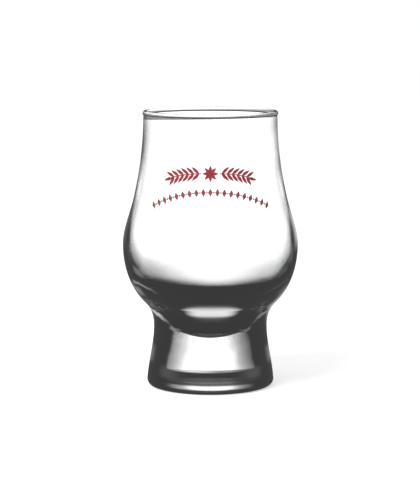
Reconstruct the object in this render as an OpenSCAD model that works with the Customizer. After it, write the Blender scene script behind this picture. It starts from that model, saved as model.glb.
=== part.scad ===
// Nosing glass: a blown tulip bowl, the pressed foot welded hot under it, and the
// printed enamel ornament fired onto the front of the bowl.
// Origin at the centre of the face it stands on, +Z up, the ornament faces -Y.

/* [Heights] */
// Overall height, from the standing face to the top of the rim
overall_h = 96; // [88:0.5:110]
// Height of the straight shoulder above the belly
shoulder_h = 65.5; // [60:0.5:72]
// Height of the belly, where the bowl is widest
belly_h = 49.5; // [43:0.2:53]
// Height at which the underside of the bowl turns into the waist
underside_h = 29.2; // [26:0.2:33]
// Height of the waist, where the foot meets the bowl
waist_h = 21.1; // [19:0.1:24]

/* [Outside diameters] */
// Diameter of the mouth, just below the rim bead
mouth_d = 46.4; // [40:0.2:52]
// Diameter at the shoulder
shoulder_d = 53.5; // [48:0.2:58]
// Diameter of the belly
belly_d = 61; // [56:0.2:70]
// Diameter where the underside turns into the waist
underside_d = 45.6; // [42:0.2:52]
// Diameter of the waist
waist_d = 39.5; // [34:0.2:42]
// Diameter of the foot
foot_d = 44.3; // [40:0.2:56]

/* [Leans] */
// Inward lean of the wall at the shoulder, in degrees
shoulder_lean = 13.2; // [8:0.2:18]
// Outward lean of the underside above the waist, in degrees
underside_lean = 46; // [36:0.5:50]
// Inward lean of the foot's side where it leaves the heel, in degrees
foot_lean = 4; // [0:0.5:9]

/* [Wall] */
// Wall thickness just below the rim bead
mouth_wall = 1.1; // [0.8:0.05:1.6]
// Diameter of the fire-polished bead on the rim
bead_d = 1.7; // [1.2:0.05:2.4]
// Wall thickness at the shoulder
shoulder_wall = 1.55; // [0.8:0.05:2.4]
// Wall thickness at the belly
belly_wall = 2.1; // [1.4:0.05:4]
// Height at which the cavity is widest
cavity_belly_h = 49.5; // [44:0.1:54]
// Diameter of the cavity low in the bowl, where it starts to round off
well_d = 49.2; // [35:0.2:50]
// Height of that diameter
well_h = 37.7; // [30:0.1:38]
// Lean of the cavity wall there, in degrees
well_lean = 32; // [28:0.5:56]
// Diameter of the cavity where it turns towards its floor
bottom_d = 21.1; // [18:0.2:32]
// Height of that diameter
bottom_h = 21.7; // [19:0.1:26]
// Lean of the cavity wall there, in degrees
bottom_lean = 52.5; // [40:0.5:66]
// Height of the lowest point of the cavity
cavity_floor_h = 17.2; // [14.5:0.1:22]

/* [Foot] */
// Glass left between the cavity and the weld, on the axis
weld_depth = 4; // [3:0.1:5]
// Lean of the weld face where it comes out at the waist, in degrees
weld_lean = 62; // [50:1:75]
// Radius that rounds the heel of the foot
heel_r = 2.1; // [1.5:0.1:3.5]
// Width of the flat ring that the glass stands on
ring_w = 2.9; // [0.8:0.1:4]
// Depth of the hollow in the underside
hollow_depth = 0.2; // [0.1:0.1:3]

/* [Enamel] */
// Thickness of the fired enamel
enamel_t = 0.1; // [0.05:0.05:0.3]
// Height of the leaf sprays at the front of the bowl
spray_h = 76.2; // [70:0.2:82]
// How far a spray reaches round the bowl from its middle
spray_reach = 17.4; // [12:0.2:20]
// How far the tips of the sprays lie below their inner ends
spray_drop = 1.6; // [0:0.1:4]
// Width of a spray's stem
stem_w = 0.36; // [0.2:0.02:0.8]
// Length of a leaf
leaf_l = 3.6; // [2:0.1:5]
// Width of a leaf
leaf_w = 1.05; // [0.6:0.05:1.6]
// Angle between a leaf and its stem, in degrees
leaf_angle = 42; // [20:1:60]
// Pairs of leaves on a spray
leaf_pairs = 6; // [3:1:7]
// Diameter of the rosette between the sprays
rosette_d = 5.6; // [3:0.1:7]
// Width of a petal of the rosette
petal_w = 1.1; // [0.6:0.05:1.6]
// Petals of the rosette
petals = 8; // [4:1:10]
// Height of the lozenge arch at the front of the bowl
arch_h = 70; // [66:0.2:71]
// How far the arch reaches round the bowl from its middle
arch_reach = 21.2; // [14:0.2:24]
// How far the ends of the arch lie below its middle
arch_drop = 4.9; // [0:0.1:8]
// Width of a lozenge
lozenge_w = 1.6; // [0.8:0.05:2]
// Height of a lozenge
lozenge_l = 2.7; // [1:0.05:3.5]
// Width of the small lozenges between them
spark_w = 0.7; // [0.3:0.05:1]
// Lozenges on the arch, an odd number
lozenges = 19; // [9:2:21]

/* [Hidden] */
// Steps of each stretch of an outline, and of its turn about the axis
stretch_steps = 16;
bead_steps = 12;
$fn = 120;

// Direction of an outline that leans outward as it rises
function heading(lean) = [sin(lean), cos(lean)];

// One fair stretch between two places, each with a lean: a cubic curve whose handles
// are those of a circular arc that turns as far
function stretch(from, from_lean, to, to_lean, steps = stretch_steps) =
    let (
        chord = norm(to - from),
        handle = chord / (3 * pow(cos((to_lean - from_lean) / 4), 2)),
        near = from + handle * heading(from_lean),
        far = to - handle * heading(to_lean)
    )
    [for (i = [1:steps])
        let (t = i / steps, s = 1 - t)
        s * s * s * from + 3 * s * s * t * near + 3 * s * t * t * far + t * t * t * to];

// Places of the outside and of the cavity, each a radius and a height
bead_r = bead_d / 2;
mouth_mid_r = mouth_d / 2 - mouth_wall / 2;
bead_h = overall_h - bead_r;
// The bead meets the wall where it is as wide as the wall is thick
bead_turn = acos(mouth_wall / bead_d);
neck_h = bead_h - bead_r * sin(bead_turn);
mouth_at = [mouth_d / 2, neck_h];
shoulder_at = [shoulder_d / 2, shoulder_h];
belly_at = [belly_d / 2, belly_h];
underside_at = [underside_d / 2, underside_h];
waist_at = [waist_d / 2, waist_h];
cavity_mouth_at = [mouth_d / 2 - mouth_wall, neck_h];
cavity_shoulder_at = [shoulder_d / 2 - shoulder_wall, shoulder_h];
cavity_belly_at = [belly_d / 2 - belly_wall, cavity_belly_h];
well_at = [well_d / 2, well_h];
bottom_at = [bottom_d / 2, bottom_h];
cavity_floor_at = [0, cavity_floor_h];
weld_at = [0, cavity_floor_h - weld_depth];

outside = concat(
    [waist_at],
    stretch(waist_at, 0, underside_at, underside_lean),
    stretch(underside_at, underside_lean, belly_at, 0),
    stretch(belly_at, 0, shoulder_at, -shoulder_lean),
    stretch(shoulder_at, -shoulder_lean, mouth_at, 0)
);
bead = [for (i = [1:bead_steps - 1])
    let (turn = -bead_turn + i * (180 + 2 * bead_turn) / bead_steps)
    [mouth_mid_r + bead_r * cos(turn), bead_h + bead_r * sin(turn)]];
cavity = concat(
    [cavity_mouth_at],
    stretch(cavity_mouth_at, 180, cavity_shoulder_at, 180 - shoulder_lean),
    stretch(cavity_shoulder_at, 180 - shoulder_lean, cavity_belly_at, 180),
    stretch(cavity_belly_at, 180, well_at, 180 + well_lean),
    stretch(well_at, 180 + well_lean, bottom_at, 180 + bottom_lean),
    stretch(bottom_at, 180 + bottom_lean, cavity_floor_at, 270)
);
// The bowl's rounded base, bedded in the foot, from the axis out to the waist
weld = concat([weld_at], stretch(weld_at, 90, waist_at, weld_lean));

heel_mid = [foot_d / 2 - heel_r, heel_r];
heel_steps = 8;
heel = [for (i = [0:heel_steps])
    let (turn = -90 + i * (90 + foot_lean) / heel_steps)
    heel_mid + heel_r * [cos(turn), sin(turn)]];
heel_top_at = heel[heel_steps];
ring_in_at = [heel_mid[0] - ring_w, 0];
hollow_at = [0, hollow_depth];
// The hollow is a shallow dome, as of a ball that touches the ring
hollow_lean = 2 * atan(hollow_depth / ring_in_at[0]);
hollow = concat([hollow_at], stretch(hollow_at, 90, ring_in_at, 90 + hollow_lean));
flank = concat([heel_top_at], stretch(heel_top_at, -foot_lean, waist_at, 0));

module bowl() {
    color("gainsboro", 0.5)
        rotate_extrude()
            polygon(concat(outside, bead, cavity, [for (i = [0:stretch_steps - 1]) weld[i]]));
}

module foot() {
    color("lightgray", 0.6)
        rotate_extrude()
            polygon(concat(hollow, heel, [for (i = [1:stretch_steps]) flank[i]],
                [for (i = [stretch_steps - 1:-1:0]) weld[i]]));
}

// The enamel is drawn as if unrolled: u runs round the bowl from the front, v is the height.
// Seen from the front, a place lies where the girth at its height carries it.
side_steps = 2 * stretch_steps;
side = [for (i = [side_steps:2 * side_steps]) outside[i]];
girth_table = [for (p = side) [p[1], p[0]]];
function seen(uv) =
    let (r = lookup(uv[1], girth_table))
    [r * sin(uv[0] / r * 180 / PI), uv[1]];
function turned(uv, angle) =
    [uv[0] * cos(angle) - uv[1] * sin(angle), uv[0] * sin(angle) + uv[1] * cos(angle)];

// Lowering of an arched line at a share of its reach
function sag(share, drop) = drop * share * share;
function arch_angle(share, reach, drop) = -atan(2 * drop * share / reach);

// Outline of a leaf of a given length and width, which starts at the origin, points
// along u and is widest before its middle
leaf_steps = 6;
leaf_belly_share = 0.8;
function leaf_outline(l, w) =
    concat(
        [for (i = [0:leaf_steps - 1])
            let (t = i / leaf_steps)
            [l * t, -w / 2 * sin(180 * pow(t, leaf_belly_share))]],
        [for (i = [leaf_steps:-1:1])
            let (t = i / leaf_steps)
            [l * t, w / 2 * sin(180 * pow(t, leaf_belly_share))]]
    );
leaf = leaf_outline(leaf_l, leaf_w);
petal = leaf_outline(rosette_d / 2, petal_w);
// Share of a leaf's pitch that is bare stem next to the rosette
stem_bare_share = 0.35;
// Share of the rosette that its eye takes
eye_share = 0.3;

// Outline of a lozenge of a given width and height
function lozenge(w, l) = [[w / 2, 0], [0, l / 2], [-w / 2, 0], [0, -l / 2]];

// A prism that runs forward from the axis, through the front of the bowl
module through_front() {
    rotate([90, 0, 0])
        linear_extrude(belly_d / 2 + enamel_t)
            children();
}

module drawn(outline, at, angle = 0) {
    through_front()
        polygon([for (p = outline) seen(at + turned(p, angle))]);
}

// Keeps what is drawn as a skin of enamel on the front of the bowl
module fired() {
    intersection() {
        rotate_extrude()
            polygon(concat(side, [for (i = [len(side) - 1:-1:0]) side[i] + [enamel_t, 0]]));
        union()
            children();
    }
}

// A spray to the right of the rosette, its stem sagging towards its tip
module spray() {
    stem_from = rosette_d / 2 + stem_w;
    stem_run = spray_reach - leaf_l - stem_from;
    stem_steps = 2 * leaf_pairs;
    function stem_uv(share) = [stem_from + share * stem_run, spray_h - sag(share, spray_drop)];
    stem = concat(
        [for (i = [0:stem_steps]) stem_uv(i / stem_steps) - [0, stem_w / 2]],
        [for (i = [stem_steps:-1:0]) stem_uv(i / stem_steps) + [0, stem_w / 2]]
    );
    drawn(stem, [0, 0]);
    for (i = [0:leaf_pairs - 1], up = [-1, 1]) {
        share = (i + stem_bare_share) / leaf_pairs;
        drawn(leaf, stem_uv(share), arch_angle(share, stem_run, spray_drop) + up * leaf_angle);
    }
    drawn(leaf, stem_uv(1) - [stem_w, 0], arch_angle(1, stem_run, spray_drop));
}

module enamel_rosette() {
    color("firebrick")
        fired() {
            through_front()
                translate([0, spray_h])
                    circle(d = rosette_d * eye_share);
            for (i = [0:petals - 1])
                drawn(petal, [0, spray_h], i * 360 / petals);
        }
}

module enamel_spray_left() {
    color("firebrick")
        mirror([1, 0, 0])
            fired()
                spray();
}

module enamel_spray_right() {
    color("firebrick")
        fired()
            spray();
}

module enamel_arch() {
    color("firebrick")
        fired()
            for (i = [0:2 * (lozenges - 1)]) {
                share = i / (lozenges - 1) - 1;
                large = i % 2 == 0;
                drawn(
                    large ? lozenge(lozenge_w, lozenge_l) : lozenge(spark_w, spark_w),
                    [share * arch_reach, arch_h - sag(share, arch_drop)],
                    arch_angle(share, arch_reach, arch_drop)
                );
            }
}

bowl();
foot();
enamel_rosette();
enamel_spray_left();
enamel_spray_right();
enamel_arch();
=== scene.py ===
"""Looks of the nosing glass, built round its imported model.

The bowl and the foot are turned as clear glass, the ornament is laid on as fired enamel,
and a pale studio with the photograph's camera is set up round them. Lengths are in
millimetres, and become metres where they reach a mesh, a lamp or the camera.
"""

import logging
import math
from collections.abc import Iterable, Sequence
from dataclasses import dataclass, field
from enum import Enum
from functools import partial, reduce

import bmesh
import bpy
from mathutils import Matrix, Vector


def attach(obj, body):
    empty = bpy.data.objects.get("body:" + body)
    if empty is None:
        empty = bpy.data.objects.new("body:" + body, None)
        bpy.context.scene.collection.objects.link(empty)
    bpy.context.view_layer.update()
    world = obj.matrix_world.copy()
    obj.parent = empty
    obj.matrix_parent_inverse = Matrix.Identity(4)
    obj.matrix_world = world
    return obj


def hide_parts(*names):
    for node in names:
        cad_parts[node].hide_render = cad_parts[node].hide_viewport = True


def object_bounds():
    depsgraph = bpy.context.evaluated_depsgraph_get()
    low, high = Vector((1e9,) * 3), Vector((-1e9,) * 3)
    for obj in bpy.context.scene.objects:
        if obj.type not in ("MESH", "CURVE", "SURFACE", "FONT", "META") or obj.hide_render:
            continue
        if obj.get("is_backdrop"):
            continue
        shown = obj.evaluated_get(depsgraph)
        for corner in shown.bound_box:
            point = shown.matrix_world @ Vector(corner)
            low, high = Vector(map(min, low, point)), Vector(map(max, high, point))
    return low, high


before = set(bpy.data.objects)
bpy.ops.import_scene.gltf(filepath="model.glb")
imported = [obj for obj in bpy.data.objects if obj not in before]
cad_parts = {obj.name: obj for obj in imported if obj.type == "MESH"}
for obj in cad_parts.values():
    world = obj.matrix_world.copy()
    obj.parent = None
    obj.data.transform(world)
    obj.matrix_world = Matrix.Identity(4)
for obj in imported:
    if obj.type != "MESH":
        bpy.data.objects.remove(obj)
PACKED_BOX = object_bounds()

LOG = logging.getLogger("nosing_glass")
MM = 0.001
WELD_DISTANCE = 1e-7
RIPPLE_DETAIL = 1.0
WAVER_DETAIL = 2.0
NOISE_MIDDLE = 0.5
# Half a turn, by which whole counts of light's turns are told apart
COUNT_MARGIN = 0.5
# The mix node's sockets, for colours and for numbers
COLOUR_MIX_INPUTS = (0, 6, 7)
COLOUR_MIX_OUTPUT = 2
NUMBER_MIX_INPUTS = (0, 2, 3)
WHITE = (1.0, 1.0, 1.0, 1.0)
Colour = tuple[float, float, float]
Span = tuple[float, float]
Curve = tuple[Span, ...]
Outline = list[Vector]
Socket = bpy.types.NodeSocket


@dataclass(frozen=True)
class Station:
    """A place on an outline, with the direction in which the outline runs there.

    A lean of 0 degrees runs up, 90 outward, 180 down and 270 towards the axis.
    """

    radius: float
    height: float
    lean: float

    def place(self) -> Vector:
        """Returns the radius and the height as a vector."""
        return Vector((self.radius, self.height))

    def heading(self) -> Vector:
        """Returns the unit vector of the direction in which the outline runs."""
        lean = math.radians(self.lean)
        return Vector((math.sin(lean), math.cos(lean)))


def stretch(start: Station, end: Station, steps: int) -> Outline:
    """Runs a fair cubic curve from one station to the next.

    Args:
        start: Where the stretch starts, and how it leans there.
        end: Where it ends, and how it leans there.
        steps: Steps along the stretch.

    Returns:
        The points of the stretch, each a radius and a height, without the first.
    """
    chord = (end.place() - start.place()).length
    turn = math.radians(end.lean - start.lean)
    handle = chord / (3 * math.cos(turn / 4) ** 2)
    near = start.place() + handle * start.heading()
    far = end.place() - handle * end.heading()
    points = []
    for i in range(1, steps + 1):
        t = i / steps
        s = 1 - t
        points.append(
            s**3 * start.place() + 3 * s * s * t * near + 3 * s * t * t * far + t**3 * end.place()
        )
    return points


def outline(stations: Sequence[Station], steps: int) -> Outline:
    """Joins the stretches between stations into one outline.

    Args:
        stations: The stations, in order.
        steps: Steps along each stretch.

    Returns:
        The points of the outline, the first station's place among them.
    """
    points = [stations[0].place()]
    for start, end in zip(stations, stations[1:]):
        points += stretch(start, end, steps)
    return points


def lathe(name: str, sections: Sequence[Outline], steps: int, crease: float) -> bpy.types.Object:
    """Turns outlines about the axis into one closed, smooth piece.

    Args:
        name: The piece's name.
        sections: The outlines, end to end. Faces of section i get material slot i.
        steps: Steps of the full turn.
        crease: Angle in degrees between faces above which an edge stays sharp.

    Returns:
        The new object, at the origin, with its place in its mesh.
    """
    mesh = bmesh.new()
    for index, section in enumerate(sections):
        old = set(mesh.faces)
        points = [mesh.verts.new((p.x * MM, 0, p.y * MM)) for p in section]
        edges = [mesh.edges.new(pair) for pair in zip(points, points[1:])]
        bmesh.ops.spin(
            mesh, geom=points + edges, cent=(0, 0, 0), axis=(0, 0, 1),
            angle=2 * math.pi, steps=steps, use_merge=True,
        )
        for face in mesh.faces:
            if face not in old:
                face.material_index = index
    bmesh.ops.remove_doubles(mesh, verts=mesh.verts, dist=WELD_DISTANCE)
    bmesh.ops.recalc_face_normals(mesh, faces=mesh.faces)
    for face in mesh.faces:
        face.smooth = True
    for edge in mesh.edges:
        if edge.is_manifold and edge.calc_face_angle() > math.radians(crease):
            edge.smooth = False
    return piece_of(name, mesh)


def piece_of(name: str, mesh: bmesh.types.BMesh) -> bpy.types.Object:
    """Makes an object of a finished bmesh and frees the bmesh.

    Args:
        name: The object's name.
        mesh: The finished bmesh.

    Returns:
        The object, linked to the scene at the origin.
    """
    data = bpy.data.meshes.new(name)
    mesh.to_mesh(data)
    mesh.free()
    piece = bpy.data.objects.new(name, data)
    bpy.context.scene.collection.objects.link(piece)
    return piece


class Tree:
    """A node tree that is filled one node at a time."""

    def __init__(self, tree: bpy.types.NodeTree) -> None:
        """Clears the tree and keeps it.

        Args:
            tree: The node tree of a material, a world or a group.
        """
        tree.nodes.clear()
        self.tree = tree

    def add(self, kind: str, inputs: dict | None = None, **settings: object) -> bpy.types.Node:
        """Adds a node, sets its values and links its inputs.

        Args:
            kind: The node's type name.
            inputs: Values or output sockets by the name or the number of the input.
            settings: The node's own properties.

        Returns:
            The new node.
        """
        node = self.tree.nodes.new(kind)
        for key, value in settings.items():
            setattr(node, key, value)
        for key, value in (inputs or {}).items():
            if isinstance(value, Socket):
                self.tree.links.new(value, node.inputs[key])
            else:
                node.inputs[key].default_value = value
        return node

    def math(self, operation: str, *values: object) -> Socket:
        """Adds a Math node with values or sockets as operands, and returns its result."""
        return self.add("ShaderNodeMath", dict(enumerate(values)), operation=operation).outputs[0]

    def mix(self, share: object, first: object, second: object) -> Socket:
        """Mixes two colours, by the second one's share."""
        inputs = dict(zip(COLOUR_MIX_INPUTS, (share, first, second)))
        return self.add("ShaderNodeMix", inputs, data_type="RGBA").outputs[COLOUR_MIX_OUTPUT]

    def blend(self, share: object, first: object, second: object) -> Socket:
        """Mixes two numbers, by the second one's share."""
        inputs = dict(zip(NUMBER_MIX_INPUTS, (share, first, second)))
        return self.add("ShaderNodeMix", inputs).outputs[0]

    def noise(self, place: object, scale: object, detail: float, warp: float = 0.0) -> Socket:
        """Adds noise with about as many crests in a metre as its scale says."""
        inputs = {"Vector": place, "Scale": scale, "Detail": detail, "Distortion": warp}
        return self.add("ShaderNodeTexNoise", inputs).outputs["Fac"]

    def bump(self, height: object, depth: object) -> Socket:
        """Returns the normal of a skin with relief, whose depth is in metres."""
        inputs = {"Height": height, "Distance": depth, "Strength": 1.0}
        return self.add("ShaderNodeBump", inputs).outputs["Normal"]

    def ease(self, value: object, low: float, high: float) -> Socket:
        """Maps a value smoothly to 0 at low and to 1 at high, which may be the lower."""
        inputs = {"Value": value, "From Min": low, "From Max": high}
        return self.add("ShaderNodeMapRange", inputs, interpolation_type="SMOOTHSTEP").outputs[0]

    def curve(self, value: object, points: Curve) -> Socket:
        """Maps a value by straight runs between points, and evenly beyond the last.

        Args:
            value: The value's socket.
            points: Pairs of a value, rising from 0, and its result, none below 0.

        Returns:
            The result's socket.
        """
        reach = points[-1][0]
        peak = max(result for _, result in points)
        node = self.add("ShaderNodeFloatCurve", {"Value": self.math("DIVIDE", value, reach)})
        line = node.mapping.curves[0]
        for point, (given, result) in zip(line.points, (points[0], points[-1])):
            point.location = (given / reach, result / peak)
        for given, result in points[1:-1]:
            line.points.new(given / reach, result / peak)
        for point in line.points:
            point.handle_type = "VECTOR"
        node.mapping.update()
        return self.math("MULTIPLY", node.outputs[0], peak)

    def product(self, *values: object) -> Socket:
        """Multiplies values or sockets."""
        return reduce(partial(self.math, "MULTIPLY"), values)

    def rest(self, share: object) -> Socket:
        """Returns what a share leaves of 1."""
        return self.math("SUBTRACT", 1.0, share)

    def hump(self, share: object) -> Socket:
        """Returns 1 where a share is one half, and 0 where it is none or all."""
        return self.product(share, self.rest(share), 4.0)


def rgba(colour: Colour) -> tuple[float, float, float, float]:
    """Returns a colour with full alpha."""
    return (*colour, 1.0)


def level(height: float) -> Curve:
    """Returns a curve that stays at one height."""
    return ((0, height), (1, height))


def new_material(name: str) -> tuple[bpy.types.Material, Tree]:
    """Makes a material without nodes.

    Args:
        name: The material's name.

    Returns:
        The material and its tree.
    """
    material = bpy.data.materials.new(name)
    material.use_nodes = True
    return material, Tree(material.node_tree)


def hot_skin_group() -> bpy.types.NodeTree:
    """Builds the group for a surface that was worked hot: broad, faint ripples.

    Returns:
        The group, with a scale and a depth as inputs and a normal as output.
    """
    name = "hot_worked_skin"
    if name in bpy.data.node_groups:
        return bpy.data.node_groups[name]
    group = bpy.data.node_groups.new(name, "ShaderNodeTree")
    for label in ("Scale", "Depth"):
        group.interface.new_socket(label, in_out="INPUT", socket_type="NodeSocketFloat")
    group.interface.new_socket("Normal", in_out="OUTPUT", socket_type="NodeSocketVector")
    tree = Tree(group)
    given = tree.add("NodeGroupInput").outputs
    place = tree.add("ShaderNodeTexCoord").outputs["Object"]
    ripple = tree.noise(place, given["Scale"], RIPPLE_DETAIL)
    tree.add("NodeGroupOutput", {"Normal": tree.bump(ripple, given["Depth"])})
    return group


@dataclass(frozen=True)
class GlassFinish:
    """Clear soda-lime glass, hot-worked and fire-polished.

    Where painted shade lies on it, standing for the room's dark, the painted shade colour takes
    the place of its tint under a faint painted glow, and painted light glows white.
    """

    name: str
    tint: Colour = (0.985, 0.99, 0.988)
    ior: float = 1.52
    roughness: float = 0.0
    painted_shade_colour: Colour = (0.0, 0.0, 0.0)
    painted_shade_glow: Colour = (0.0385, 0.0385, 0.0395)
    painted_glint: Colour = (1.0, 1.0, 1.0)
    ripple_scale: float = 60.0
    ripple_depth: float = 0.004

    def material(self) -> bpy.types.Material:
        """Builds the material.

        Returns:
            The new material.
        """
        material, tree = new_material(self.name)
        skin = tree.add(
            "ShaderNodeGroup",
            {"Scale": self.ripple_scale, "Depth": self.ripple_depth * MM},
            node_tree=hot_skin_group(),
        )
        # Painted shade and painted light: the dark share turns the base colour to the painted
        # shade colour under a faint painted glow, and the light share glows as emission
        dark, light = self.seen(tree)
        # Glass tints what passes by the root of its colour, so the clear share is squared
        clear = tree.rest(dark)
        painted_shade_share = tree.rest(tree.product(clear, clear))
        painted_shade_emission = tree.mix(dark, rgba(self.painted_shade_colour), rgba(self.painted_shade_glow))
        glass = tree.add(
            "ShaderNodeBsdfPrincipled",
            {
                "Base Color": tree.mix(painted_shade_share, rgba(self.tint), rgba(self.painted_shade_colour)),
                "Metallic": 0.0,
                "Roughness": self.roughness,
                "IOR": self.ior,
                "Transmission Weight": 1.0,
                "Emission Color": tree.mix(light, painted_shade_emission, rgba(self.painted_glint)),
                "Emission Strength": 1.0,
                "Normal": skin.outputs["Normal"],
            },
        )
        tree.add("ShaderNodeOutputMaterial", {"Surface": glass.outputs[0]})
        return material

    def seen(self, tree: Tree) -> tuple[object, object]:
        """Returns the shares of painted shade and of painted light: thin glass has neither."""
        return 0.0, 0.0


@dataclass(frozen=True)
class View:
    """How a place on the outside of the glass lies.

    Its height and its way to the right are in mm. Its facing is 0 where it is met head on, and
    1 where it is grazed. Its front is 1 where it is seen from outside. Its waver is a slow
    unevenness about 0, as hot glass keeps, by which painted shade and painted light wander. Its
    place is a vector in metres.
    """

    height: Socket
    facing: Socket
    right: Socket
    front: Socket
    waver: Socket
    place: Socket

    @classmethod
    def of(cls, tree: Tree, pitch: float) -> "View":
        """Adds the nodes that give the view.

        Args:
            tree: The node tree to build in.
            pitch: About how far apart the crests of the waver lie, in mm.

        Returns:
            The view.
        """
        place = tree.add("ShaderNodeTexCoord").outputs["Object"]
        parts = tree.add("ShaderNodeSeparateXYZ", {0: place}).outputs
        uneven = tree.noise(place, 1 / (pitch * MM), WAVER_DETAIL)
        return cls(
            height=tree.math("DIVIDE", parts["Z"], MM),
            facing=tree.add("ShaderNodeLayerWeight").outputs["Facing"],
            right=tree.math("DIVIDE", parts["X"], MM),
            front=tree.rest(tree.add("ShaderNodeNewGeometry").outputs["Backfacing"]),
            waver=tree.math("SUBTRACT", uneven, NOISE_MIDDLE),
            place=place,
        )


@dataclass(frozen=True)
class Border:
    """A soft border of painted shade across the glass, from the height where it starts to where it
    is full.

    Both heights change by facing and by the way to the right.
    """

    reach: Span
    by_facing: float
    by_right: float

    def passed(self, tree: Tree, view: View) -> Socket:
        """Works out how far the border is passed.

        Args:
            tree: The node tree to build in.
            view: How the place lies.

        Returns:
            The socket of a share from 0 to 1.
        """
        height = tree.math("MULTIPLY_ADD", view.right, self.by_right, view.height)
        height = tree.math("MULTIPLY_ADD", view.facing, self.by_facing, height)
        return tree.ease(height, *self.reach)


@dataclass(frozen=True)
class PaintedStreak:
    """A painted line of light in thick glass, glowing where an edge inside it would throw one.

    Its line gives its height by facing, and it fades in and out between pairs of facings. Its
    painted light differs from the left to the right of the front.
    """

    line: Curve
    half_width: float
    left: float
    right: float
    fade_in: Span
    fade_out: Span = (1.0, 1.1)
    waver: float = 3.0
    core_share: float = 0.25
    side_reach: Span = (-6.0, 6.0)

    def glow(self, tree: Tree, view: View) -> Socket:
        """Works out the painted light of the line.

        Args:
            tree: The node tree to build in.
            view: How the place lies.

        Returns:
            The light's socket.
        """
        height = tree.math("MULTIPLY_ADD", view.waver, self.waver, view.height)
        line = tree.curve(view.facing, self.line)
        off = tree.math("ABSOLUTE", tree.math("SUBTRACT", height, line))
        side = tree.ease(view.right, *self.side_reach)
        return tree.product(
            tree.ease(off, self.half_width, self.half_width * self.core_share),
            tree.ease(view.facing, *self.fade_in),
            tree.ease(view.facing, *reversed(self.fade_out)),
            tree.math("MULTIPLY_ADD", side, self.right - self.left, self.left),
        )


@dataclass(frozen=True)
class PaintedCurls:
    """Fine painted curl lines of light that glow in the glass beside a hot weld, within a range of
    heights.
    """

    pitch: float
    line: float
    light: float
    fade_in: Span
    low: Span
    high: Span
    warp: float = 1.2
    detail: float = 3.0

    def glow(self, tree: Tree, view: View) -> Socket:
        """Works out the painted light of the curl lines.

        Args:
            tree: The node tree to build in.
            view: How the place lies.

        Returns:
            The light's socket.
        """
        noise = tree.noise(view.place, 1 / (self.pitch * MM), self.detail, self.warp)
        crest = tree.math("ABSOLUTE", tree.math("SUBTRACT", noise, NOISE_MIDDLE))
        return tree.product(
            tree.ease(crest, self.line, 0.0),
            tree.ease(view.facing, *self.fade_in),
            tree.ease(view.height, *self.low),
            tree.ease(view.height, *reversed(self.high)),
            self.light,
        )


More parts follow.
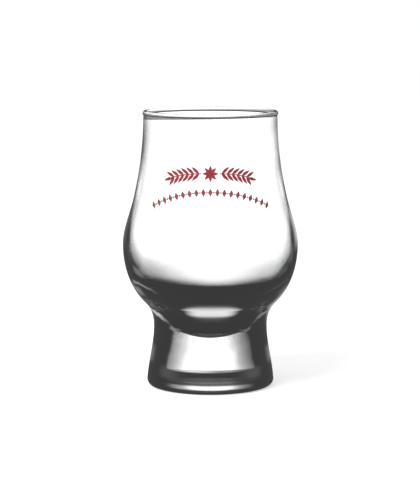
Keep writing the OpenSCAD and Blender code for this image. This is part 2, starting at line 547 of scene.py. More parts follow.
@dataclass(frozen=True)
class BowlFinish(GlassFinish):
    """Glass of the bowl, whose thick underside bends the lit field out of sight; the shade that
    follows is painted on.

    How deep the painted shade, which stands for the room's dark, lies in it is a product of one
    curve by height and one by facing. Where the wall turns away beyond a facing, it is deep too,
    and it is deeper on the left. The rim is a painted dark line between two borders. Low in the
    underside a painted glow shows the lit field once more, as a lens, and painted lines of light
    glow in it.
    """

    # Painted shade of the underside: how deep it lies, by height and by facing
    painted_shade_by_height: Curve = (
        (0, 30), (38, 30), (38.6, 9), (39.2, 3.6), (40, 2.15), (40.7, 1.35), (41.5, 0.85),
        (42.5, 0.65), (43.5, 0.58), (48, 0.11), (49.5, 0.01), (50, 0),
    )
    painted_shade_by_facing: Curve = (
        (0, 0.1), (0.05, 0.1), (0.12, 0.5), (0.18, 0.82), (0.28, 1.38), (0.33, 1.5),
        (0.43, 1.5), (0.6, 1.8), (1, 3),
    )
    # Painted shade where the wall turns away: from which facing, and how deep, by height
    painted_wall_shade_from: Curve = (
        (0, 0.42), (44, 0.42), (46, 0.38), (49, 0.36), (51, 0.42), (53, 0.46), (56, 0.49),
        (64, 0.52), (70, 0.59), (75, 0.95), (78, 1), (90, 1), (92, 0.72), (94, 0.62), (96, 0.6),
    )
    painted_wall_shade_depth: Curve = ((0, 3), (55, 3), (60, 4.4), (65, 6.4), (70, 6), (74, 3), (96, 3))
    # Painted shade, deeper on the left than on the right
    painted_shade_left: float = 1.2
    painted_shade_right: float = 0.8
    side_reach: Span = (-10.0, 10.0)
    # Painted dark line at the rim, between two borders
    painted_rim_shade: float = 0.75
    rim: tuple[Border, Border] = (
        Border((94.15, 94.55), by_facing=0.9, by_right=-0.022),
        Border((95.35, 95.05), by_facing=-0.6, by_right=-0.008),
    )
    # Painted glow of the lens: its edge by height, its softness and slope, and its light by height
    painted_lens_edge: Curve = (
        (0, 0.14), (25.4, 0.14), (26.5, 0.2), (29.25, 0.465), (29.65, 0.46), (31.3, 0.345),
        (32, 0.33),
    )
    painted_lens_soft: float = 0.035
    painted_lens_slope: float = 0.0007
    painted_lens_glow: Curve = (
        (0, 0), (24.8, 0), (26.1, 0.04), (26.6, 0.12), (26.9, 0.25), (27.3, 0.57), (27.7, 0.75),
        (28.9, 0.8), (29.3, 0.75), (30.1, 0.55), (30.9, 0.2), (31.3, 0.08), (32, 0),
    )
    waver_pitch: float = 6.0
    # Painted curl lines of light beside the weld
    painted_curls: PaintedCurls = PaintedCurls(
        pitch=3.2, line=0.045, light=0.11, fade_in=(0.5, 0.66), low=(24.5, 27.0), high=(30.0, 33.5)
    )
    # Painted lines of light in the bowl
    painted_streaks: tuple[PaintedStreak, ...] = (
        PaintedStreak(
            line=((0, 20.0), (0.28, 22.1), (0.38, 23.6), (0.46, 24.6), (0.63, 26.4),
                  (0.73, 26.9), (0.83, 27.2), (1, 27.3)),
            half_width=0.65, left=0.50, right=0.19, fade_in=(0.3, 0.68),
        ),
        PaintedStreak(
            line=((0, 20.8), (0.22, 21.6), (0.38, 22.9), (1, 23.0)),
            half_width=0.8, left=0.2, right=0.12, fade_in=(0.14, 0.24), fade_out=(0.28, 0.36),
        ),
        PaintedStreak(
            line=((0, 33.0), (0.47, 35.6), (0.53, 36.6), (0.60, 37.5), (0.7, 38.0), (1, 38.4)),
            half_width=0.95, left=0.21, right=0.02, fade_in=(0.4, 0.56), fade_out=(0.7, 0.85),
        ),
        PaintedStreak(
            line=((0, 34.0), (0.66, 34.6), (0.8, 35.2), (1, 36.4)),
            half_width=2.1, left=0.17, right=0.04, fade_in=(0.62, 0.74),
        ),
        PaintedStreak(
            line=((0, 41.0), (0.48, 41.5), (0.60, 42.6), (1, 44.0)),
            half_width=2.0, left=0.13, right=0.05, fade_in=(0.42, 0.50), fade_out=(0.56, 0.64),
        ),
        PaintedStreak(level(29.5), half_width=9.0, left=0.08, right=0.32, fade_in=(0.72, 0.9)),
        PaintedStreak(
            level(47.5), half_width=5.0, left=0.02, right=0.06, fade_in=(0.42, 0.54),
            fade_out=(0.64, 0.74),
        ),
        PaintedStreak(level(56.0), half_width=9.0, left=0.08, right=0.5, fade_in=(0.68, 0.86)),
        PaintedStreak(level(76.0), half_width=6.0, left=0.18, right=0.24, fade_in=(0.72, 0.9)),
        PaintedStreak(level(84.0), half_width=8.0, left=0.0, right=0.24, fade_in=(0.5, 0.65)),
    )

    def seen(self, tree: Tree) -> tuple[object, object]:
        """Works out the painted shade and the painted light of the bowl.

        Args:
            tree: The node tree to build in.

        Returns:
            The sockets of the painted shade's share and of the painted light's share.
        """
        view = View.of(tree, self.waver_pitch)
        # Painted shade: the underside and the turning wall, deeper on the left
        underside = tree.product(
            tree.curve(view.height, self.painted_shade_by_height),
            tree.curve(view.facing, self.painted_shade_by_facing),
        )
        beyond = tree.math("SUBTRACT", view.facing, tree.curve(view.height, self.painted_wall_shade_from))
        wall = tree.product(
            tree.math("MAXIMUM", beyond, 0.0), tree.curve(view.height, self.painted_wall_shade_depth)
        )
        side = tree.ease(view.right, *self.side_reach)
        lean = tree.math("MULTIPLY_ADD", side, self.painted_shade_right - self.painted_shade_left, self.painted_shade_left)
        clear = tree.math("EXPONENT", tree.product(tree.math("ADD", underside, wall), lean, -1.0))
        # Painted dark line at the rim
        rim = tree.product(*(border.passed(tree, view) for border in self.rim), self.painted_rim_shade)
        dark = tree.math("MAXIMUM", tree.rest(clear), rim)
        # Painted light: the lens's glow, and painted lines of light
        edge = tree.math("SUBTRACT", tree.curve(view.height, self.painted_lens_edge), view.facing)
        inside = tree.math("MULTIPLY_ADD", view.right, self.painted_lens_slope, edge)
        lens = tree.ease(inside, -self.painted_lens_soft, self.painted_lens_soft)
        light = tree.product(lens, tree.curve(view.height, self.painted_lens_glow))
        for part in (*self.painted_streaks, self.painted_curls):
            light = tree.math("MAXIMUM", light, part.glow(tree, view))
        return tree.product(dark, view.front), tree.product(light, view.front)


@dataclass(frozen=True)
class FootFinish(GlassFinish):
    """Glass of the foot: a lit window in its middle, painted shade at its sides and along its
    heel, and painted light above its heel and in lines.
    """

    # Painted shade at the sides, by facing
    painted_side_shade: Curve = (
        (0, 0), (0.035, 0), (0.08, 0.22), (0.12, 0.46), (0.18, 0.64), (0.27, 0.85), (0.295, 0.98),
        (0.33, 1), (1, 1),
    )
    # Painted shade along the heel, by height
    painted_heel_shade: Curve = (
        (0, 0.92), (0.6, 0.92), (1.4, 0.75), (1.7, 0.6), (2.1, 0.2), (2.4, 0.03), (2.9, 0),
        (3.5, 0.9), (3.8, 0.95), (4.1, 0.95), (4.35, 0.84), (4.6, 0.95), (7.2, 0.97), (7.6, 0),
        (24, 0),
    )
    # Painted light above the heel, by height
    painted_heel_glow: Curve = (
        (0, 0), (7.5, 0), (7.8, 0.15), (8.15, 0.8), (8.35, 0.6), (8.6, 0.15), (8.8, 0), (24, 0),
    )
    side_level: float = 13.0
    side_rise: float = 0.004
    heel_h: Span = (6.0, 8.0)
    # Painted shade added on the right, and painted light less there
    painted_right_dim: float = 0.17
    painted_right_glow_less: float = 0.6
    right_reach: Span = (-4.0, 4.0)
    heel_window: Curve = (
        (0, 1), (0.04, 0.95), (0.08, 0.55), (0.12, 0.38), (0.18, 0.4), (0.24, 0.25), (0.3, 0.05),
        (0.4, 0), (1, 0),
    )
    waver_pitch: float = 5.0
    waver: float = 0.06
    # Painted lines of light in the foot
    painted_streaks: tuple[PaintedStreak, ...] = (
        PaintedStreak(level(11.8), half_width=4.0, left=0.13, right=0.17, fade_in=(0.56, 0.85)),
        PaintedStreak(
            level(7.0), half_width=3.0, left=0.045, right=0.045, fade_in=(0.05, 0.28),
            fade_out=(0.30, 0.48),
        ),
    )

    def seen(self, tree: Tree) -> tuple[object, object]:
        """Works out the painted shade and the painted light of the foot.

        Args:
            tree: The node tree to build in.

        Returns:
            The sockets of the painted shade's share and of the painted light's share.
        """
        view = View.of(tree, self.waver_pitch)
        # Painted shade at the sides, a little deeper on the right, round the lit window
        facing = tree.math("MULTIPLY_ADD", view.waver, self.waver, view.facing)
        rise = tree.math("SUBTRACT", view.height, self.side_level)
        side = tree.curve(tree.math("MULTIPLY_ADD", rise, self.side_rise, facing), self.painted_side_shade)
        right = tree.ease(view.right, *self.right_reach)
        painted_dimming = tree.product(tree.hump(side), right, self.painted_right_dim)
        window = tree.rest(tree.math("ADD", side, painted_dimming))
        # Painted shade along the heel
        through = tree.math(
            "MAXIMUM",
            tree.curve(view.facing, self.heel_window),
            tree.ease(view.height, *self.heel_h),
        )
        heel = tree.product(tree.rest(tree.curve(view.height, self.painted_heel_shade)), through)
        dark = tree.rest(tree.product(window, heel))
        # Painted light above the heel, less on the right, and painted lines of light
        left = tree.rest(tree.product(right, self.painted_right_glow_less))
        light = tree.product(tree.curve(view.height, self.painted_heel_glow), window, left)
        for streak in self.painted_streaks:
            light = tree.math("MAXIMUM", light, streak.glow(tree, view))
        return tree.product(dark, view.front), tree.product(light, view.front)


@dataclass(frozen=True)
class WeldFinish:
    """The hot weld, where glass runs into glass and nothing shows."""

    name: str = "weld_clear"

    def material(self) -> bpy.types.Material:
        """Builds the material.

        Returns:
            The new material.
        """
        material, tree = new_material(self.name)
        clear = tree.add("ShaderNodeBsdfTransparent")
        tree.add("ShaderNodeOutputMaterial", {"Surface": clear.outputs[0]})
        return material


@dataclass(frozen=True)
class EnamelFinish:
    """Screen-printed enamel, fired until it has a satin gloss."""

    name: str = "fired_enamel"
    full: Colour = (0.33, 0.032, 0.042)
    thin: Colour = (0.42, 0.055, 0.070)
    roughness: float = 0.34
    thin_roughness: float = 0.12
    grain_scale: float = 1400.0
    grain_detail: float = 2.0
    grain_depth: float = 0.006
    thin_reach: Span = (0.35, 0.7)

    def material(self) -> bpy.types.Material:
        """Builds the material.

        Returns:
            The new material.
        """
        material, tree = new_material(self.name)
        place = tree.add("ShaderNodeTexCoord").outputs["Object"]
        grain = tree.noise(place, self.grain_scale, self.grain_detail)
        thin = tree.ease(grain, *self.thin_reach)
        coat = tree.add(
            "ShaderNodeBsdfPrincipled",
            {
                "Base Color": tree.mix(thin, rgba(self.full), rgba(self.thin)),
                "Roughness": tree.math("MULTIPLY_ADD", thin, self.thin_roughness, self.roughness),
                "Normal": tree.bump(grain, self.grain_depth * MM),
            },
        )
        tree.add("ShaderNodeOutputMaterial", {"Surface": coat.outputs[0]})
        return material


@dataclass
class Bowl:
    """The blown tulip bowl, with its solid rounded base."""

    overall_h: float = 96.0
    shoulder_h: float = 65.5
    belly_h: float = 49.5
    underside_h: float = 29.2
    waist_h: float = 21.1
    mouth_d: float = 46.4
    shoulder_d: float = 53.5
    belly_d: float = 61.0
    underside_d: float = 45.6
    waist_d: float = 39.5
    shoulder_lean: float = 13.2
    underside_lean: float = 46.0
    mouth_wall: float = 1.1
    bead_d: float = 1.7
    shoulder_wall: float = 1.55
    belly_wall: float = 2.1
    cavity_belly_h: float = 49.5
    well_d: float = 49.2
    well_h: float = 37.7
    well_lean: float = 32.0
    bottom_d: float = 21.1
    bottom_h: float = 21.7
    bottom_lean: float = 52.5
    cavity_floor_h: float = 17.2
    weld_depth: float = 4.0
    weld_lean: float = 62.0
    steps: int = 22
    bead_steps: int = 5
    turn_steps: int = 200
    crease: float = 24.0
    finish: GlassFinish = BowlFinish("bowl_glass")
    cavity_finish: GlassFinish = GlassFinish("bowl_glass_inside")

    def bead_turn(self) -> float:
        """Returns the angle in degrees by which the bead wraps below its middle."""
        return math.degrees(math.acos(self.mouth_wall / self.bead_d))

    def bead_h(self) -> float:
        """Returns the height of the bead's middle."""
        return self.overall_h - self.bead_d / 2

    def neck_h(self) -> float:
        """Returns the height at which the bead grows out of the wall."""
        return self.bead_h() - self.bead_d / 2 * math.sin(math.radians(self.bead_turn()))

    def weld(self) -> Outline:
        """Returns the outline of the weld face, from the axis to the waist."""
        stations = (
            Station(0, self.cavity_floor_h - self.weld_depth, 90),
            Station(self.waist_d / 2, self.waist_h, self.weld_lean),
        )
        return outline(stations, self.steps)

    def outside(self) -> Outline:
        """Returns the outline of the outside, from the waist to the bead."""
        stations = (
            Station(self.waist_d / 2, self.waist_h, 0),
            Station(self.underside_d / 2, self.underside_h, self.underside_lean),
            Station(self.belly_d / 2, self.belly_h, 0),
            Station(self.shoulder_d / 2, self.shoulder_h, -self.shoulder_lean),
            Station(self.mouth_d / 2, self.neck_h(), 0),
        )
        return outline(stations, self.steps)

    def bead(self) -> Outline:
        """Draws the fire-polished bead.

        Returns:
            Its outline, from the outside to the inside.
        """
        middle = self.mouth_d / 2 - self.mouth_wall / 2
        half = self.bead_d / 2
        stations = (
            Station(self.mouth_d / 2, self.neck_h(), self.bead_turn()),
            Station(middle + half, self.bead_h(), 0),
            Station(middle, self.bead_h() + half, -90),
            Station(middle - half, self.bead_h(), -180),
            Station(self.mouth_d / 2 - self.mouth_wall, self.neck_h(), -180 - self.bead_turn()),
        )
        return outline(stations, self.bead_steps)

    def cavity(self) -> Outline:
        """Returns the outline of the cavity, from the bead down to its floor."""
        stations = (
            Station(self.mouth_d / 2 - self.mouth_wall, self.neck_h(), 180),
            Station(
                self.shoulder_d / 2 - self.shoulder_wall, self.shoulder_h, 180 - self.shoulder_lean
            ),
            Station(self.belly_d / 2 - self.belly_wall, self.cavity_belly_h, 180),
            Station(self.well_d / 2, self.well_h, 180 + self.well_lean),
            Station(self.bottom_d / 2, self.bottom_h, 180 + self.bottom_lean),
            Station(0, self.cavity_floor_h, 270),
        )
        return outline(stations, self.steps)

    def build(self, weld_finish: bpy.types.Material) -> bpy.types.Object:
        """Turns the bowl and dresses it.

        Args:
            weld_finish: The material of the weld face.

        Returns:
            The bowl.
        """
        sections = (self.outside() + self.bead()[1:], self.cavity(), self.weld())
        piece = lathe("bowl_blown", sections, self.turn_steps, self.crease)
        for finish in (self.finish.material(), self.cavity_finish.material(), weld_finish):
            piece.data.materials.append(finish)
        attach(piece, "root")
        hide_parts("bowl")
        return piece


@dataclass
class Foot:
    """The pressed foot, on which the bowl is bedded hot."""

    foot_d: float = 44.3
    foot_lean: float = 4.0
    heel_r: float = 2.1
    ring_w: float = 2.9
    hollow_depth: float = 0.2
    steps: int = 22
    heel_steps: int = 12
    turn_steps: int = 200
    crease: float = 24.0
    finish: GlassFinish = FootFinish("foot_glass")

    def hollow(self) -> Outline:
        """Draws the hollow.

        Returns:
            Its outline, from the axis to the standing ring.
        """
        ring_in = self.foot_d / 2 - self.heel_r - self.ring_w
        lean = 2 * math.degrees(math.atan(self.hollow_depth / ring_in))
        middle = Station(0, self.hollow_depth, 90)
        return outline((middle, Station(ring_in, 0, 90 + lean)), self.steps)

    def heel(self) -> Outline:
        """Draws the standing ring and the heel that rounds it.

        Returns:
            Their outline, outward and up.
        """
        middle = self.foot_d / 2 - self.heel_r
        turn = math.radians(self.foot_lean)
        top = Station(
            middle + self.heel_r * math.cos(turn),
            self.heel_r + self.heel_r * math.sin(turn),
            -self.foot_lean,
        )
        arc = outline((Station(middle, 0, 90), top), self.heel_steps)
        return [Vector((middle - self.ring_w, 0)), *arc]

    def flank(self, bowl: Bowl) -> Outline:
        """Draws the side.

        Args:
            bowl: The bowl that is bedded in the foot.

        Returns:
            Its outline, from the heel to the waist of the bowl.
        """
        top = self.heel()[-1]
        stations = (
            Station(top.x, top.y, -self.foot_lean),
            Station(bowl.waist_d / 2, bowl.waist_h, 0),
        )
        return outline(stations, self.steps)

    def build(self, bowl: Bowl, weld_finish: bpy.types.Material) -> bpy.types.Object:
        """Turns the foot and dresses it.

        Args:
            bowl: The bowl that is bedded in it.
            weld_finish: The material of the weld face.

        Returns:
            The foot.
        """
        skin = self.hollow() + self.heel()[1:] + self.flank(bowl)[1:]
        piece = lathe("foot_pressed", (skin, bowl.weld()), self.turn_steps, self.crease)
        piece.data.materials.append(self.finish.material())
        piece.data.materials.append(weld_finish)
        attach(piece, "root")
        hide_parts("foot")
        return piece


class Side(Enum):
    """The side of the rosette on which a spray lies, as a factor of its reach."""

    LEFT = -1
    RIGHT = 1


@dataclass
class FiredPrint:
    """Enamel that lies on the outside of a bowl as a thin, even skin.

    A print is drawn as if unrolled: u runs round the bowl from the front, v is the height.
    """

    bowl: Bowl
    thickness: float = 0.1
    sunk: float = 0.02
    merge_reach: float = 0.002
    flat_lean: float = 1.0
    round_r: float = 0.035
    round_steps: int = 2
    round_profile: float = 0.5
    cut_pitch: float = 0.5
    crease: float = 50.0

    def girths(self) -> Outline:
        """Returns the outline of the outside from the underside up, by which prints are laid."""
        return self.bowl.outside()[self.bowl.steps:]

    def wrap(self, drawn: Vector, girths: Sequence[Vector]) -> Vector:
        """Lays a drawn place on the bowl.

        Args:
            drawn: The place as u, lift above the glass and v.
            girths: The outline of the outside.

        Returns:
            The place on the bowl.
        """
        for low, high in zip(girths, girths[1:]):
            if drawn.z <= high.y:
                break
        run = (high - low).normalized()
        along = (drawn.z - low.y) / (high.y - low.y)
        radius = low.x + along * (high.x - low.x)
        turn = drawn.x / radius
        out = radius + drawn.y * run.y
        return Vector((out * math.sin(turn), -out * math.cos(turn), drawn.z - drawn.y * run.x))

    def flat(self, outlines: Iterable[Outline]) -> bmesh.types.BMesh:
        """Makes the drawn outlines into flat prisms that are fused where they overlap.

        Args:
            outlines: The outlines, each a closed line of u and v.

        Returns:
            The fused prisms.
        """
        mesh = bmesh.new()
        for line in outlines:
            face = mesh.faces.new([mesh.verts.new((p.x, -self.sunk, p.y)) for p in line])
            grown = bmesh.ops.extrude_face_region(mesh, geom=[face])
            tops = [v for v in grown["geom"] if isinstance(v, bmesh.types.BMVert)]
            bmesh.ops.translate(mesh, verts=tops, vec=(0, self.sunk + self.thickness, 0))
        bmesh.ops.recalc_face_normals(mesh, faces=mesh.faces)
        draft = piece_of("draft", mesh)
        void = piece_of("void", bmesh.new())
        fuse = draft.modifiers.new("fuse", "BOOLEAN")
        fuse.operation, fuse.solver, fuse.use_self, fuse.object = "UNION", "EXACT", True, void
        fused = bmesh.new()
        fused.from_object(draft, bpy.context.evaluated_depsgraph_get())
        for piece in (draft, void):
            bpy.data.meshes.remove(piece.data)
        bmesh.ops.remove_doubles(fused, verts=fused.verts, dist=self.merge_reach)
        bmesh.ops.dissolve_limit(
            fused, angle_limit=math.radians(self.flat_lean), verts=fused.verts, edges=fused.edges
        )
        return fused

    def fire(
        self, name: str, outlines: Iterable[Outline], finish: bpy.types.Material
    ) -> bpy.types.Object:
        """Fires outlines onto the bowl.

        Args:
            name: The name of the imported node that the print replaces.
            outlines: The outlines, each a closed line of u and v.
            finish: The enamel.

        Returns:
            The print.
        """
        mesh = self.flat(outlines)
        rims = [
            edge for edge in mesh.edges
            if all(v.co.y > self.thickness / 2 for v in edge.verts)
            and edge.calc_face_angle(0) > math.radians(self.crease)
        ]
        bmesh.ops.bevel(
            mesh, geom=rims, offset=self.round_r, segments=self.round_steps, affect="EDGES",
            profile=self.round_profile, material=-1, clamp_overlap=True,
        )
        for axis in (0, 2):
            marks = [v.co[axis] / self.cut_pitch for v in mesh.verts]
            normal = Vector((axis == 0, 0, axis == 2))
            for step in range(math.ceil(min(marks)), math.ceil(max(marks))):
                bmesh.ops.bisect_plane(
                    mesh, geom=[*mesh.verts, *mesh.edges, *mesh.faces], dist=self.merge_reach,
                    plane_co=normal * step * self.cut_pitch, plane_no=normal,
                )
        girths = self.girths()
        for vert in mesh.verts:
            vert.co = self.wrap(vert.co, girths) * MM
        bmesh.ops.recalc_face_normals(mesh, faces=mesh.faces)
        for face in mesh.faces:
            face.smooth = True
        for edge in mesh.edges:
            edge.smooth = edge.calc_face_angle(0) < math.radians(self.crease)
        piece = piece_of(name.replace("enamel", "print"), mesh)
        piece.data.materials.append(finish)
        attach(piece, "root")
        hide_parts(name)
        return piece


def leaf_outline(length: float, width: float, steps: int = 12, skew: float = 0.8) -> Outline:
    """Draws a leaf that starts at the origin, points along u and is widest before its middle.

    Args:
        length: The leaf's length.
        width: Its greatest width.
        steps: Steps along each of its edges.
        skew: A power, 1 where the leaf is widest at its middle and less where that is before.

    Returns:
        The closed outline.
    """
    def edge(i: int, side: int) -> Vector:
        """Returns a place on one edge."""
        t = i / steps
        return Vector((length * t, side * width / 2 * math.sin(math.pi * t**skew)))

    return [edge(i, -1) for i in range(steps)] + [edge(i, 1) for i in range(steps, 0, -1)]


def turned(line: Outline, angle: float, at: Vector) -> Outline:
    """Turns an outline about the origin by an angle in degrees, and then moves it."""
    turn = Matrix.Rotation(math.radians(angle), 2)
    return [turn @ p + at for p in line]


@dataclass
class Rosette:
    """The star in the middle of the front."""

    height: float = 76.2
    diameter: float = 5.6
    petal_w: float = 1.1
    petals: int = 8
    eye_share: float = 0.3
    eye_steps: int = 24

    def outlines(self) -> Iterable[Outline]:
        """Draws the eye and the petals.

        Yields:
            Each closed outline.
        """
        middle = Vector((0, self.height))
        eye = Vector((self.diameter * self.eye_share / 2, 0))
        yield [
            Matrix.Rotation(2 * math.pi * i / self.eye_steps, 2) @ eye + middle
            for i in range(self.eye_steps)
        ]
        petal = leaf_outline(self.diameter / 2, self.petal_w)
        for i in range(self.petals):
            yield turned(petal, 360 * i / self.petals, middle)


@dataclass
class Spray:
    """A spray of leaves beside the rosette, its stem sagging towards its tip."""

    side: Side
    rosette: Rosette
    reach: float = 17.4
    drop: float = 1.6
    stem_w: float = 0.36
    leaf_l: float = 3.6
    leaf_w: float = 1.05
    leaf_angle: float = 42.0
    leaf_pairs: int = 6
    stem_bare_share: float = 0.35
    stem_steps: int = 24

    def stem(self, share: float) -> Vector:
        """Returns the place at a share of the stem."""
        start = self.rosette.diameter / 2 + self.stem_w
        return Vector((start + share * self.run(), self.rosette.height - self.drop * share**2))

    def run(self) -> float:
        """Returns the length of the stem."""
        return self.reach - self.leaf_l - self.rosette.diameter / 2 - self.stem_w

    def lean(self, share: float) -> float:
        """Returns the angle in degrees at which the stem runs at a share of it."""
        return -math.degrees(math.atan(2 * self.drop * share / self.run()))

    def outlines(self) -> Iterable[Outline]:
        """Draws the stem and the leaves.

        Yields:
            Each closed outline.
        """
        half = Vector((0, self.stem_w / 2))
        shares = [i / self.stem_steps for i in range(self.stem_steps + 1)]
        under = [self.stem(t) - half for t in shares]
        over = [self.stem(t) + half for t in reversed(shares)]
        lines = [under + over]
        leaf = leaf_outline(self.leaf_l, self.leaf_w)
        for i in range(self.leaf_pairs):
            share = (i + self.stem_bare_share) / self.leaf_pairs
            lean, place = self.lean(share), self.stem(share)
            lines += [turned(leaf, lean + way * self.leaf_angle, place) for way in (-1, 1)]
        lines.append(turned(leaf, self.lean(1), self.stem(1) - Vector((self.stem_w, 0))))
        for line in lines:
            yield [Vector((self.side.value * p.x, p.y)) for p in line]


@dataclass
class LozengeArch:
    """The arched row of lozenges, with sparks between them."""

    height: float = 70.0
    reach: float = 21.2
    drop: float = 4.9
    lozenge_w: float = 1.6
    lozenge_l: float = 2.7
    spark_w: float = 0.7
    lozenges: int = 19

    def outlines(self) -> Iterable[Outline]:
        """Draws the lozenges and the sparks.

        Yields:
            Each closed outline.
        """
        lozenge = self.lozenge_w / 2, self.lozenge_l / 2
        spark = self.spark_w / 2, self.spark_w / 2
        for i in range(2 * self.lozenges - 1):
            share = i / (self.lozenges - 1) - 1
            half_w, half_l = spark if i % 2 else lozenge
            line = [Vector(p) for p in ((half_w, 0), (0, half_l), (-half_w, 0), (0, -half_l))]
            lean = -math.degrees(math.atan(2 * self.drop * share / self.reach))
            place = Vector((share * self.reach, self.height - self.drop * share**2))
            yield turned(line, lean, place)


@dataclass
class Ornament:
    """The fired enamel on the front of the bowl."""

    rosette: Rosette = field(default_factory=Rosette)
    arch: LozengeArch = field(default_factory=LozengeArch)
    bold: EnamelFinish = EnamelFinish()
    fine: EnamelFinish = EnamelFinish(
        "fired_enamel_fine", full=(0.30, 0.070, 0.085), thin=(0.38, 0.10, 0.12)
    )

    def build(self, bowl: Bowl) -> list[bpy.types.Object]:
        """Fires the ornament onto the bowl.

        Args:
            bowl: The bowl.

        Returns:
            The four prints.
        """
        fired = FiredPrint(bowl)
        bold, fine = self.bold.material(), self.fine.material()
        prints = [
            fired.fire("enamel_rosette", self.rosette.outlines(), bold),
            fired.fire("enamel_arch", self.arch.outlines(), fine),
        ]
        for side in Side:
            name = f"enamel_spray_{side.name.lower()}"
            prints.append(fired.fire(name, Spray(side, self.rosette).outlines(), bold))
        return prints


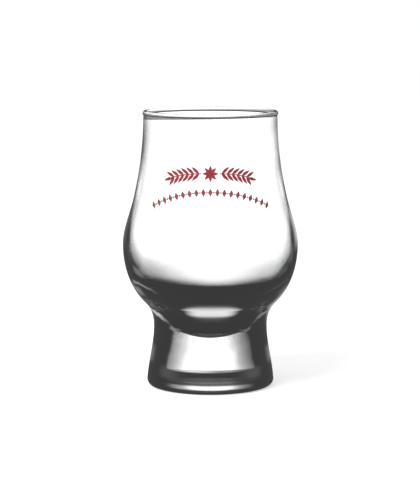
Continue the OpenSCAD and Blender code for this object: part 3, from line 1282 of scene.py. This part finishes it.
@dataclass
class Studio:
    """A pale floor that runs into a white surround, with soft light.

    What the glass bends far from the straight way through leaves the lit field behind it,
    and meets the darkened room instead, as in any photograph of clear glass on white.
    Each dip and rise is a pair of angles in degrees: up to the first the field is fully lit, and
    from the second on it is dark. The mirror's pairs hold for light that is mirrored once.
    """

    floor_reach: float = 3000.0
    floor_steps: int = 96
    floor_gap: float = 0.02
    floor_colour: Colour = (0.80, 0.80, 0.80)
    floor_lift: float = 0.53
    surround_light: float = 0.60
    room_dark: float = 0.063
    field_light: float = 1.49
    field_dip: Span = (62.0, 100.0)
    mirror_dip: Span = (0.5, 7.5)
    field_rise: Span = (6.2, 12.7)
    mirror_rise: Span = (15.0, 28.0)
    lamp_place: tuple[float, float, float] = (-500.0, -600.0, 900.0)
    lamp_width: float = 600.0
    lamp_power: float = 8.0

    def bent_light(self, tree: Tree, steepness: Socket, bent: Span, mirrored: Span) -> Socket:
        """Works out how bright the surround is to light that went through the glass.

        Args:
            tree: The node tree to build in.
            steepness: Sine of the angle to the level.
            bent: Angles in degrees between which the lit field ends for light only bent.
            mirrored: The same for light that was mirrored once inside the glass.

        Returns:
            The brightness.
        """
        path = tree.add("ShaderNodeLightPath").outputs
        shares = []
        for turns, (full, end) in enumerate((bent, mirrored)):
            lit = tree.ease(steepness, math.sin(math.radians(end)), math.sin(math.radians(full)))
            met = tree.math("COMPARE", path["Glossy Depth"], float(turns), COUNT_MARGIN)
            shares.append(tree.product(lit, met))
        entered = tree.math("GREATER_THAN", path["Transmission Depth"], COUNT_MARGIN)
        seen = tree.product(tree.math("ADD", *shares), entered)
        return tree.math("MULTIPLY_ADD", seen, self.field_light - self.room_dark, self.room_dark)

    def floor(self) -> None:
        """Lays the floor."""
        mesh = bmesh.new()
        bmesh.ops.create_circle(
            mesh, cap_ends=True, radius=self.floor_reach * MM, segments=self.floor_steps
        )
        bmesh.ops.translate(mesh, verts=mesh.verts, vec=(0, 0, -self.floor_gap * MM))
        piece = piece_of("floor", mesh)
        material, tree = new_material("pale_floor")
        path = tree.add("ShaderNodeLightPath").outputs
        steepness = tree.rest(tree.add("ShaderNodeLayerWeight").outputs["Facing"])
        matt = tree.add("ShaderNodeBsdfDiffuse", {"Color": rgba(self.floor_colour)})
        lift = tree.add("ShaderNodeEmission", {"Color": WHITE, "Strength": self.floor_lift})
        lifted = tree.add("ShaderNodeAddShader", {0: matt.outputs[0], 1: lift.outputs[0]})
        bent = self.bent_light(tree, steepness, self.field_dip, self.mirror_dip)
        through = tree.add("ShaderNodeEmission", {"Color": WHITE, "Strength": bent})
        direct = tree.add(
            "ShaderNodeMixShader",
            {0: path["Is Camera Ray"], 1: matt.outputs[0], 2: lifted.outputs[0]},
        )
        glassy = tree.math("MAXIMUM", path["Is Transmission Ray"], path["Is Glossy Ray"])
        shown = tree.add(
            "ShaderNodeMixShader", {0: glassy, 1: direct.outputs[0], 2: through.outputs[0]}
        )
        tree.add("ShaderNodeOutputMaterial", {"Surface": shown.outputs[0]})
        piece.data.materials.append(material)
        piece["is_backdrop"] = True

    def surround(self) -> None:
        """Sets the world: white to the camera, and to the glass a lit field under a dark room."""
        world = bpy.data.worlds.new("studio")
        bpy.context.scene.world = world
        world.use_nodes = True
        tree = Tree(world.node_tree)
        path = tree.add("ShaderNodeLightPath").outputs
        direction = tree.add("ShaderNodeTexCoord").outputs["Generated"]
        rise = tree.add("ShaderNodeSeparateXYZ", {0: direction}).outputs["Z"]
        bent = self.bent_light(tree, rise, self.field_rise, self.mirror_rise)
        light = tree.blend(path["Is Diffuse Ray"], bent, self.surround_light)
        shown = tree.blend(path["Is Camera Ray"], light, 1.0)
        back = tree.add("ShaderNodeBackground", {"Color": WHITE, "Strength": shown})
        tree.add("ShaderNodeOutputWorld", {"Surface": back.outputs[0]})

    def lamps(self) -> None:
        """Hangs one broad soft lamp above and to the left of the front."""
        lamp = bpy.data.lights.new("softbox", "AREA")
        lamp.shape = "DISK"
        lamp.size = self.lamp_width * MM
        lamp.energy = self.lamp_power
        place = Vector(self.lamp_place) * MM
        holder = bpy.data.objects.new("softbox", lamp)
        holder.location = place
        holder.rotation_mode = "QUATERNION"
        holder.rotation_quaternion = (-place).to_track_quat("-Z", "Y")
        holder.visible_glossy = False
        holder.visible_transmission = False
        bpy.context.scene.collection.objects.link(holder)

    def build(self) -> None:
        """Sets up floor, surround and lamp."""
        self.floor()
        self.surround()
        self.lamps()


@dataclass
class PhotoCamera:
    """The photograph's camera."""

    distance: float = 683.9
    height: float = 136.1
    aside: float = -0.13
    aim_height: float = 49.07
    focal: float = 145.2
    sensor: float = 36.0
    clip: Span = (50.0, 20000.0)

    def build(self) -> None:
        """Sets up the camera."""
        camera = bpy.data.cameras.new("camera")
        camera.sensor_width = self.sensor
        camera.lens = self.focal
        camera.clip_start, camera.clip_end = (reach * MM for reach in self.clip)
        holder = bpy.data.objects.new("camera", camera)
        place = Vector((self.aside, -self.distance, self.height)) * MM
        aim = Vector((self.aside, 0, self.aim_height)) * MM
        turn = (aim - place).to_track_quat("-Z", "Y").to_matrix()
        holder.matrix_world = Matrix.Translation(place) @ turn.to_4x4()
        bpy.context.scene.collection.objects.link(holder)
        bpy.context.scene.camera = holder


def write_sizes() -> None:
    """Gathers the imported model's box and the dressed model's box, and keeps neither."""
    boxes = {"packed": PACKED_BOX, "dressed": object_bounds()}
    {name: [list(corner) for corner in box] for name, box in boxes.items()}


def main() -> None:
    """Builds the glass, its finishes and the studio."""
    logging.basicConfig(level=logging.INFO, format="%(name)s: %(message)s")
    bpy.context.scene.view_settings.view_transform = "Standard"
    PhotoCamera().build()
    weld_finish = WeldFinish().material()
    bowl = Bowl()
    pieces = (bowl.build(weld_finish), Foot().build(bowl, weld_finish), *Ornament().build(bowl))
    for piece in pieces:
        LOG.info("%s: %d faces", piece.name, len(piece.data.polygons))
    Studio().build()
    write_sizes()


if __name__ == "__main__":
    main()
